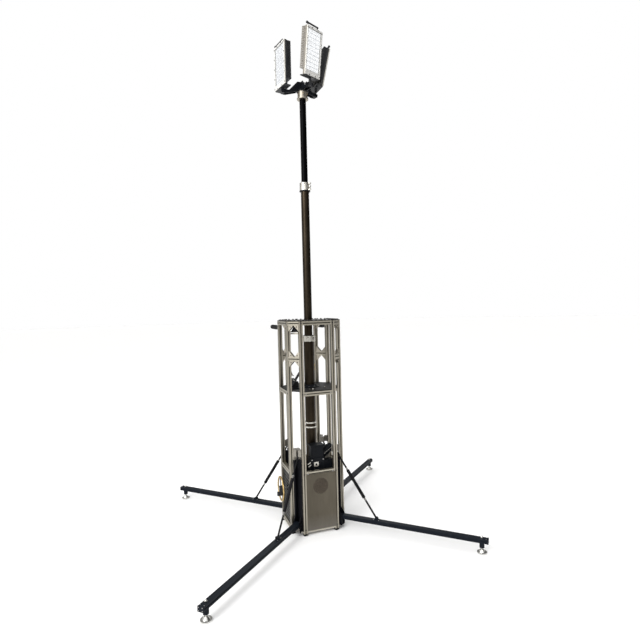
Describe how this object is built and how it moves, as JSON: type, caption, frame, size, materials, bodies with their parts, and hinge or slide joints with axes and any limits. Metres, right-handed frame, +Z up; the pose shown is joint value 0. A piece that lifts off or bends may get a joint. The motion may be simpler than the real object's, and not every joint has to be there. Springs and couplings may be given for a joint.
{
  "type": "crank lighting stand",
  "caption": "Telescopic lighting mast in a slotted aluminium tower with folding braced legs, a crank winch and tilting LED panel floods.",
  "frame": {"origin": "on the floor, under the mast axis", "axes": "+Z up the mast, -Y out of the front panel with the round vent, +X to the right of a person facing that panel"},
  "size_m": [1.9318, 1.9318, 3.8089],
  "materials": {
    "profile_aluminium": "satin champagne anodised extrusion",
    "cast_bracket": "tumbled die casting",
    "rubber_foot": "matt",
    "dark_plate": "charcoal powder coat",
    "bolt_steel": "zinc plated",
    "base_sheet": "mill finish sheet",
    "panel_sheet": "champagne satin sheet",
    "vent_mesh": "dark bronze mesh",
    "ribbed_panel": "dark grey ribbed sheet",
    "black_coat": "black powder coat",
    "cast_grey": "sand cast",
    "bronze_tube": "dark bronze anodised",
    "clamp_silver": "machined and clear anodised",
    "black_plastic": "fine grain",
    "grey_box": "grey powder coat",
    "battery_case": "moulded",
    "wheel_rim": "brushed lacquered",
    "shaft_steel": "turned",
    "lever_steel": "brushed",
    "glide_plastic": "moulded nylon",
    "black_tube": "black anodised",
    "lamp_casting": "charcoal powder coat",
    "lamp_window": "clear toughened glass over white LED board",
    "leg_black": "blue-black powder coat",
    "foot_steel": "bright zinc"
  },
  "bodies": {
    "tower": {"posts": "profile_aluminium", "post_feet": "rubber_foot", "face_rails": "profile_aluminium", "chamfer_bars": "profile_aluminium", "gussets": "cast_bracket", "top_plate": "dark_plate", "top_bolts": "bolt_steel", "mid_plate": "dark_plate", "base_plate": "base_sheet", "front_panel": "panel_sheet", "front_grille": "vent_mesh", "left_panel": "ribbed_panel", "plain_panels": "panel_sheet", "leg_channels": "black_coat", "mast_foot": "cast_grey", "outer_tube": "bronze_tube", "outer_clamp": "clamp_silver", "mast_guide": "black_coat", "drive_box": "black_coat", "drive_motor": "black_coat", "drive_flange": "clamp_silver", "battery": "battery_case", "power_box": "grey_box", "control_box": "black_plastic", "push_handles": "black_plastic", "winch_frame": "cast_grey"},
    "crank": {"crank_wheel": "wheel_rim", "crank_shaft": "shaft_steel"},
    "knob": {"crank_knob": "black_plastic"},
    "lower_lever": {"outer_lever": "lever_steel"},
    "stage2": {"stage2_tube": "bronze_tube", "stage2_glide": "glide_plastic", "stage2_clamp": "clamp_silver"},
    "upper_lever": {"stage2_lever": "lever_steel"},
    "stage3": {"stage3_tube": "black_tube", "stage3_glide": "glide_plastic", "head_sleeve": "clamp_silver", "lamp_hub": "black_coat"},
    "lamp_left": {"lamp_left": "lamp_casting", "window_left": "lamp_window"},
    "lamp_front": {"lamp_front": "lamp_casting", "window_front": "lamp_window"},
    "lamp_right": {"lamp_right": "lamp_casting", "window_right": "lamp_window"},
    "leg_front_left": {"leg_front_left": "leg_black"},
    "strut_front_left": {"strut_front_left": "leg_black"},
    "slide_front_left": {"slide_front_left": "grey_box"},
    "foot_front_left": {"foot_front_left": "foot_steel"},
    "leg_front_right": {"leg_front_right": "leg_black"},
    "strut_front_right": {"strut_front_right": "leg_black"},
    "slide_front_right": {"slide_front_right": "grey_box"},
    "foot_front_right": {"foot_front_right": "foot_steel"},
    "leg_back_right": {"leg_back_right": "leg_black"},
    "strut_back_right": {"strut_back_right": "leg_black"},
    "slide_back_right": {"slide_back_right": "grey_box"},
    "foot_back_right": {"foot_back_right": "foot_steel"},
    "leg_back_left": {"leg_back_left": "leg_black"},
    "strut_back_left": {"strut_back_left": "leg_black"},
    "slide_back_left": {"slide_back_left": "grey_box"},
    "foot_back_left": {"foot_back_left": "foot_steel"}
  },
  "joints": [
    {"name": "mast_lift", "type": "slide", "parent": "tower", "child": "stage2", "axis": [0, 0, 1], "range_m": [-1, 0]},
    {"name": "mast_top_slide", "type": "slide", "parent": "stage2", "child": "stage3", "axis": [0, 0, 1], "range_m": [-0.64, 0.4]},
    {"name": "crank_turn", "type": "hinge", "parent": "tower", "child": "crank", "pos_m": [-0.2, 0, 0.306], "axis": [1, 0, 0], "range_deg": [0, 1910]},
    {"name": "knob_spin", "type": "hinge", "parent": "crank", "child": "knob", "pos_m": [-0.255, -0.058, 0.29], "axis": [-1, 0, 0], "continuous": true},
    {"name": "lower_lever_swing", "type": "hinge", "parent": "tower", "child": "lower_lever", "pos_m": [0.03448, -0.04413, 1.465], "axis": [0, 0, -1], "range_deg": [0, 100]},
    {"name": "upper_lever_swing", "type": "hinge", "parent": "stage2", "child": "upper_lever", "pos_m": [0.03078, -0.0394, 2.6575], "axis": [0, 0, -1], "range_deg": [0, 100]},
    {"name": "lamp_left_tilt", "type": "hinge", "parent": "stage3", "child": "lamp_left", "pos_m": [-0.1579, 0.00551, 3.385], "axis": [-0.0349, -0.9994, 0], "range_deg": [-6, 60]},
    {"name": "lamp_front_tilt", "type": "hinge", "parent": "stage3", "child": "lamp_front", "pos_m": [0.01809, -0.12873, 3.405], "axis": [0.9903, 0.1392, 0], "range_deg": [-14, 60]},
    {"name": "lamp_right_tilt", "type": "hinge", "parent": "stage3", "child": "lamp_right", "pos_m": [0.11876, 0.05288, 3.405], "axis": [-0.4067, 0.9135, 0], "range_deg": [-14, 60]},
    {"name": "leg_front_left_fold", "type": "hinge", "parent": "tower", "child": "leg_front_left", "pos_m": [-0.17664, -0.17664, 0.087], "axis": [-0.7071, 0.7071, 0], "range_deg": [0, 90]},
    {"name": "strut_front_left_fold", "type": "hinge", "parent": "leg_front_left", "child": "strut_front_left", "pos_m": [-0.38042, -0.38042, 0.112], "axis": [-0.7071, 0.7071, 0], "range_deg": [-122.27, 0]},
    {"name": "slide_front_left_lift", "type": "slide", "parent": "tower", "child": "slide_front_left", "axis": [0, 0, 1], "range_m": [0, 0.36351]},
    {"name": "foot_front_left_screw", "type": "hinge", "parent": "leg_front_left", "child": "foot_front_left", "pos_m": [-0.91924, -0.91924, 0.02], "axis": [0, 0, 1], "continuous": true},
    {"name": "leg_front_right_fold", "type": "hinge", "parent": "tower", "child": "leg_front_right", "pos_m": [0.17664, -0.17664, 0.087], "axis": [-0.7071, -0.7071, 0], "range_deg": [0, 90]},
    {"name": "strut_front_right_fold", "type": "hinge", "parent": "leg_front_right", "child": "strut_front_right", "pos_m": [0.38042, -0.38042, 0.112], "axis": [-0.7071, -0.7071, 0], "range_deg": [-122.27, 0]},
    {"name": "slide_front_right_lift", "type": "slide", "parent": "tower", "child": "slide_front_right", "axis": [0, 0, 1], "range_m": [0, 0.36351]},
    {"name": "foot_front_right_screw", "type": "hinge", "parent": "leg_front_right", "child": "foot_front_right", "pos_m": [0.91924, -0.91924, 0.02], "axis": [0, 0, 1], "continuous": true},
    {"name": "leg_back_right_fold", "type": "hinge", "parent": "tower", "child": "leg_back_right", "pos_m": [0.17664, 0.17664, 0.087], "axis": [0.7071, -0.7071, 0], "range_deg": [0, 90]},
    {"name": "strut_back_right_fold", "type": "hinge", "parent": "leg_back_right", "child": "strut_back_right", "pos_m": [0.38042, 0.38042, 0.112], "axis": [0.7071, -0.7071, 0], "range_deg": [-122.27, 0]},
    {"name": "slide_back_right_lift", "type": "slide", "parent": "tower", "child": "slide_back_right", "axis": [0, 0, 1], "range_m": [0, 0.36351]},
    {"name": "foot_back_right_screw", "type": "hinge", "parent": "leg_back_right", "child": "foot_back_right", "pos_m": [0.91924, 0.91924, 0.02], "axis": [0, 0, 1], "continuous": true},
    {"name": "leg_back_left_fold", "type": "hinge", "parent": "tower", "child": "leg_back_left", "pos_m": [-0.17664, 0.17664, 0.087], "axis": [0.7071, 0.7071, 0], "range_deg": [0, 90]},
    {"name": "strut_back_left_fold", "type": "hinge", "parent": "leg_back_left", "child": "strut_back_left", "pos_m": [-0.38042, 0.38042, 0.112], "axis": [0.7071, 0.7071, 0], "range_deg": [-122.27, 0]},
    {"name": "slide_back_left_lift", "type": "slide", "parent": "tower", "child": "slide_back_left", "axis": [0, 0, 1], "range_m": [0, 0.36351]},
    {"name": "foot_back_left_screw", "type": "hinge", "parent": "leg_back_left", "child": "foot_back_left", "pos_m": [-0.91924, 0.91924, 0.02], "axis": [0, 0, 1], "continuous": true}
  ],
  "couplings": [
    {"joint": "crank_turn", "follows": "mast_lift", "rad_per_m": -33.333},
    {"joint": "strut_front_left_fold", "follows": "leg_front_left_fold", "ratio": -1.3575},
    {"joint": "slide_front_left_lift", "follows": "leg_front_left_fold", "m_per_rad": 0.23129},
    {"joint": "strut_front_right_fold", "follows": "leg_front_right_fold", "ratio": -1.3575},
    {"joint": "slide_front_right_lift", "follows": "leg_front_right_fold", "m_per_rad": 0.23129},
    {"joint": "strut_back_right_fold", "follows": "leg_back_right_fold", "ratio": -1.3575},
    {"joint": "slide_back_right_lift", "follows": "leg_back_right_fold", "m_per_rad": 0.23129},
    {"joint": "strut_back_left_fold", "follows": "leg_back_left_fold", "ratio": -1.3575},
    {"joint": "slide_back_left_lift", "follows": "leg_back_left_fold", "m_per_rad": 0.23129}
  ]
}
